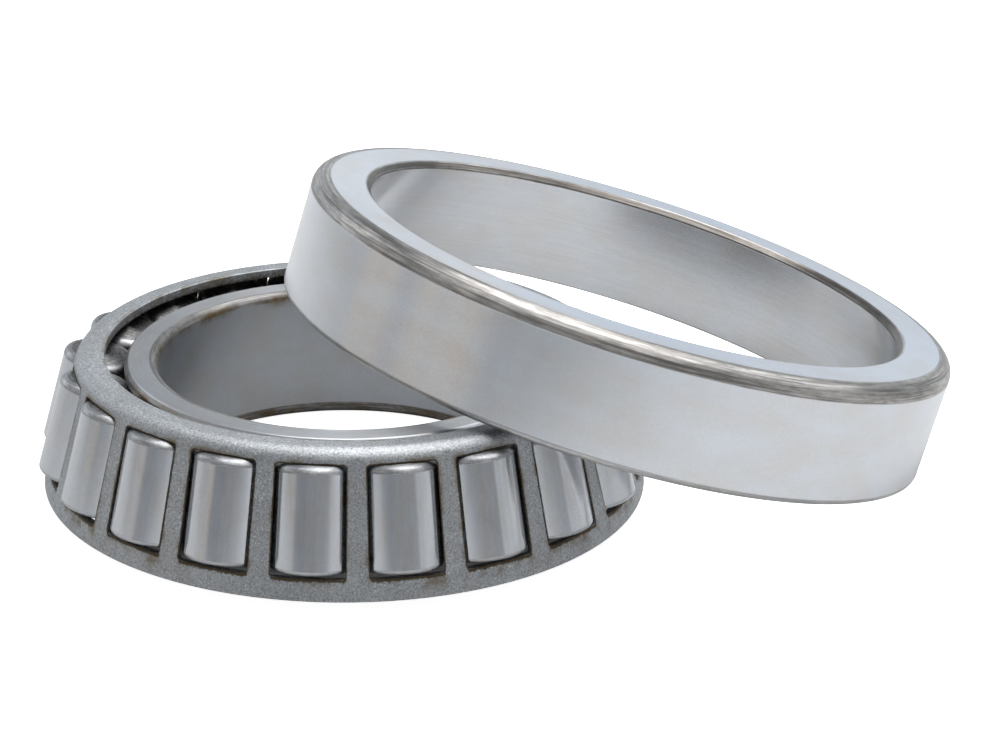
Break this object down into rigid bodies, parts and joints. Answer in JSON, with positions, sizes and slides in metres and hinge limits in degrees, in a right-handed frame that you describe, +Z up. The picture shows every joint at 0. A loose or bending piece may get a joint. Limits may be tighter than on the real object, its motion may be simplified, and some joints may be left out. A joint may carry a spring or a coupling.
{
  "type": "tapered roller bearing",
  "caption": "Tapered roller bearing taken apart: inner ring with caged tapered rollers lying flat, separable outer ring leaning on it; carries radial and axial load.",
  "frame": {"origin": "centre of the inner ring, on the bore's axis and halfway along the bore; the floor is 10.5 mm below it", "axes": "+Z runs up the inner ring's bore, from its large back face to its small front face; +X points to the side where the leaning outer ring comes down to the floor"},
  "size_m": [0.1379, 0.1, 0.0449],
  "materials": {
    "inner_ring": "ground bearing steel, satin",
    "cage": "stamped steel sheet, tumbled grey with a fine grain",
    "outer_ring": "ground bearing steel, satin",
    "roller": "fine ground bearing steel, bright"
  },
  "bodies": {
    "inner_ring": {"inner_ring": "inner_ring"},
    "cage": {"cage": "cage"},
    "outer_ring": {"outer_ring": "outer_ring"},
    "roller_01": {"roller_01": "roller"},
    "roller_02": {"roller_02": "roller"},
    "roller_03": {"roller_03": "roller"},
    "roller_04": {"roller_04": "roller"},
    "roller_05": {"roller_05": "roller"},
    "roller_06": {"roller_06": "roller"},
    "roller_07": {"roller_07": "roller"},
    "roller_08": {"roller_08": "roller"},
    "roller_09": {"roller_09": "roller"},
    "roller_10": {"roller_10": "roller"},
    "roller_11": {"roller_11": "roller"},
    "roller_12": {"roller_12": "roller"},
    "roller_13": {"roller_13": "roller"},
    "roller_14": {"roller_14": "roller"},
    "roller_15": {"roller_15": "roller"},
    "roller_16": {"roller_16": "roller"},
    "roller_17": {"roller_17": "roller"},
    "roller_18": {"roller_18": "roller"},
    "roller_19": {"roller_19": "roller"},
    "roller_20": {"roller_20": "roller"}
  },
  "joints": [
    {"name": "cage_spin", "type": "hinge", "parent": "inner_ring", "child": "cage", "pos_m": [0, 0, 0], "axis": [0, 0, 1], "continuous": true},
    {"name": "outer_ring_lift", "type": "slide", "parent": "inner_ring", "child": "outer_ring", "axis": [0, 0, 1], "range_m": [0, 0.06]},
    {"name": "roller_01_spin", "type": "hinge", "parent": "cage", "child": "roller_01", "pos_m": [0.03715, 0.00797, 0.0019], "axis": [-0.223, -0.0478, 0.9736], "continuous": true},
    {"name": "roller_02_spin", "type": "hinge", "parent": "cage", "child": "roller_02", "pos_m": [0.03287, 0.01906, 0.0019], "axis": [-0.1973, -0.1144, 0.9736], "continuous": true},
    {"name": "roller_03_spin", "type": "hinge", "parent": "cage", "child": "roller_03", "pos_m": [0.02538, 0.02828, 0.0019], "axis": [-0.1523, -0.1698, 0.9736], "continuous": true},
    {"name": "roller_04_spin", "type": "hinge", "parent": "cage", "child": "roller_04", "pos_m": [0.01539, 0.03474, 0.0019], "axis": [-0.0924, -0.2085, 0.9736], "continuous": true},
    {"name": "roller_05_spin", "type": "hinge", "parent": "cage", "child": "roller_05", "pos_m": [0.00391, 0.0378, 0.0019], "axis": [-0.0234, -0.2269, 0.9736], "continuous": true},
    {"name": "roller_06_spin", "type": "hinge", "parent": "cage", "child": "roller_06", "pos_m": [-0.00797, 0.03715, 0.0019], "axis": [0.0478, -0.223, 0.9736], "continuous": true},
    {"name": "roller_07_spin", "type": "hinge", "parent": "cage", "child": "roller_07", "pos_m": [-0.01906, 0.03287, 0.0019], "axis": [0.1144, -0.1973, 0.9736], "continuous": true},
    {"name": "roller_08_spin", "type": "hinge", "parent": "cage", "child": "roller_08", "pos_m": [-0.02828, 0.02538, 0.0019], "axis": [0.1698, -0.1523, 0.9736], "continuous": true},
    {"name": "roller_09_spin", "type": "hinge", "parent": "cage", "child": "roller_09", "pos_m": [-0.03474, 0.01539, 0.0019], "axis": [0.2085, -0.0924, 0.9736], "continuous": true},
    {"name": "roller_10_spin", "type": "hinge", "parent": "cage", "child": "roller_10", "pos_m": [-0.0378, 0.00391, 0.0019], "axis": [0.2269, -0.0234, 0.9736], "continuous": true},
    {"name": "roller_11_spin", "type": "hinge", "parent": "cage", "child": "roller_11", "pos_m": [-0.03715, -0.00797, 0.0019], "axis": [0.223, 0.0478, 0.9736], "continuous": true},
    {"name": "roller_12_spin", "type": "hinge", "parent": "cage", "child": "roller_12", "pos_m": [-0.03287, -0.01906, 0.0019], "axis": [0.1973, 0.1144, 0.9736], "continuous": true},
    {"name": "roller_13_spin", "type": "hinge", "parent": "cage", "child": "roller_13", "pos_m": [-0.02538, -0.02828, 0.0019], "axis": [0.1523, 0.1698, 0.9736], "continuous": true},
    {"name": "roller_14_spin", "type": "hinge", "parent": "cage", "child": "roller_14", "pos_m": [-0.01539, -0.03474, 0.0019], "axis": [0.0924, 0.2085, 0.9736], "continuous": true},
    {"name": "roller_15_spin", "type": "hinge", "parent": "cage", "child": "roller_15", "pos_m": [-0.00391, -0.0378, 0.0019], "axis": [0.0234, 0.2269, 0.9736], "continuous": true},
    {"name": "roller_16_spin", "type": "hinge", "parent": "cage", "child": "roller_16", "pos_m": [0.00797, -0.03715, 0.0019], "axis": [-0.0478, 0.223, 0.9736], "continuous": true},
    {"name": "roller_17_spin", "type": "hinge", "parent": "cage", "child": "roller_17", "pos_m": [0.01906, -0.03287, 0.0019], "axis": [-0.1144, 0.1973, 0.9736], "continuous": true},
    {"name": "roller_18_spin", "type": "hinge", "parent": "cage", "child": "roller_18", "pos_m": [0.02828, -0.02538, 0.0019], "axis": [-0.1698, 0.1523, 0.9736], "continuous": true},
    {"name": "roller_19_spin", "type": "hinge", "parent": "cage", "child": "roller_19", "pos_m": [0.03474, -0.01539, 0.0019], "axis": [-0.2085, 0.0924, 0.9736], "continuous": true},
    {"name": "roller_20_spin", "type": "hinge", "parent": "cage", "child": "roller_20", "pos_m": [0.0378, -0.00391, 0.0019], "axis": [-0.2269, 0.0234, 0.9736], "continuous": true}
  ],
  "couplings": [
    {"joint": "roller_01_spin", "follows": "cage_spin", "ratio": 5.8121},
    {"joint": "roller_02_spin", "follows": "cage_spin", "ratio": 5.8121},
    {"joint": "roller_03_spin", "follows": "cage_spin", "ratio": 5.8121},
    {"joint": "roller_04_spin", "follows": "cage_spin", "ratio": 5.8121},
    {"joint": "roller_05_spin", "follows": "cage_spin", "ratio": 5.8121},
    {"joint": "roller_06_spin", "follows": "cage_spin", "ratio": 5.8121},
    {"joint": "roller_07_spin", "follows": "cage_spin", "ratio": 5.8121},
    {"joint": "roller_08_spin", "follows": "cage_spin", "ratio": 5.8121},
    {"joint": "roller_09_spin", "follows": "cage_spin", "ratio": 5.8121},
    {"joint": "roller_10_spin", "follows": "cage_spin", "ratio": 5.8121},
    {"joint": "roller_11_spin", "follows": "cage_spin", "ratio": 5.8121},
    {"joint": "roller_12_spin", "follows": "cage_spin", "ratio": 5.8121},
    {"joint": "roller_13_spin", "follows": "cage_spin", "ratio": 5.8121},
    {"joint": "roller_14_spin", "follows": "cage_spin", "ratio": 5.8121},
    {"joint": "roller_15_spin", "follows": "cage_spin", "ratio": 5.8121},
    {"joint": "roller_16_spin", "follows": "cage_spin", "ratio": 5.8121},
    {"joint": "roller_17_spin", "follows": "cage_spin", "ratio": 5.8121},
    {"joint": "roller_18_spin", "follows": "cage_spin", "ratio": 5.8121},
    {"joint": "roller_19_spin", "follows": "cage_spin", "ratio": 5.8121},
    {"joint": "roller_20_spin", "follows": "cage_spin", "ratio": 5.8121}
  ]
}
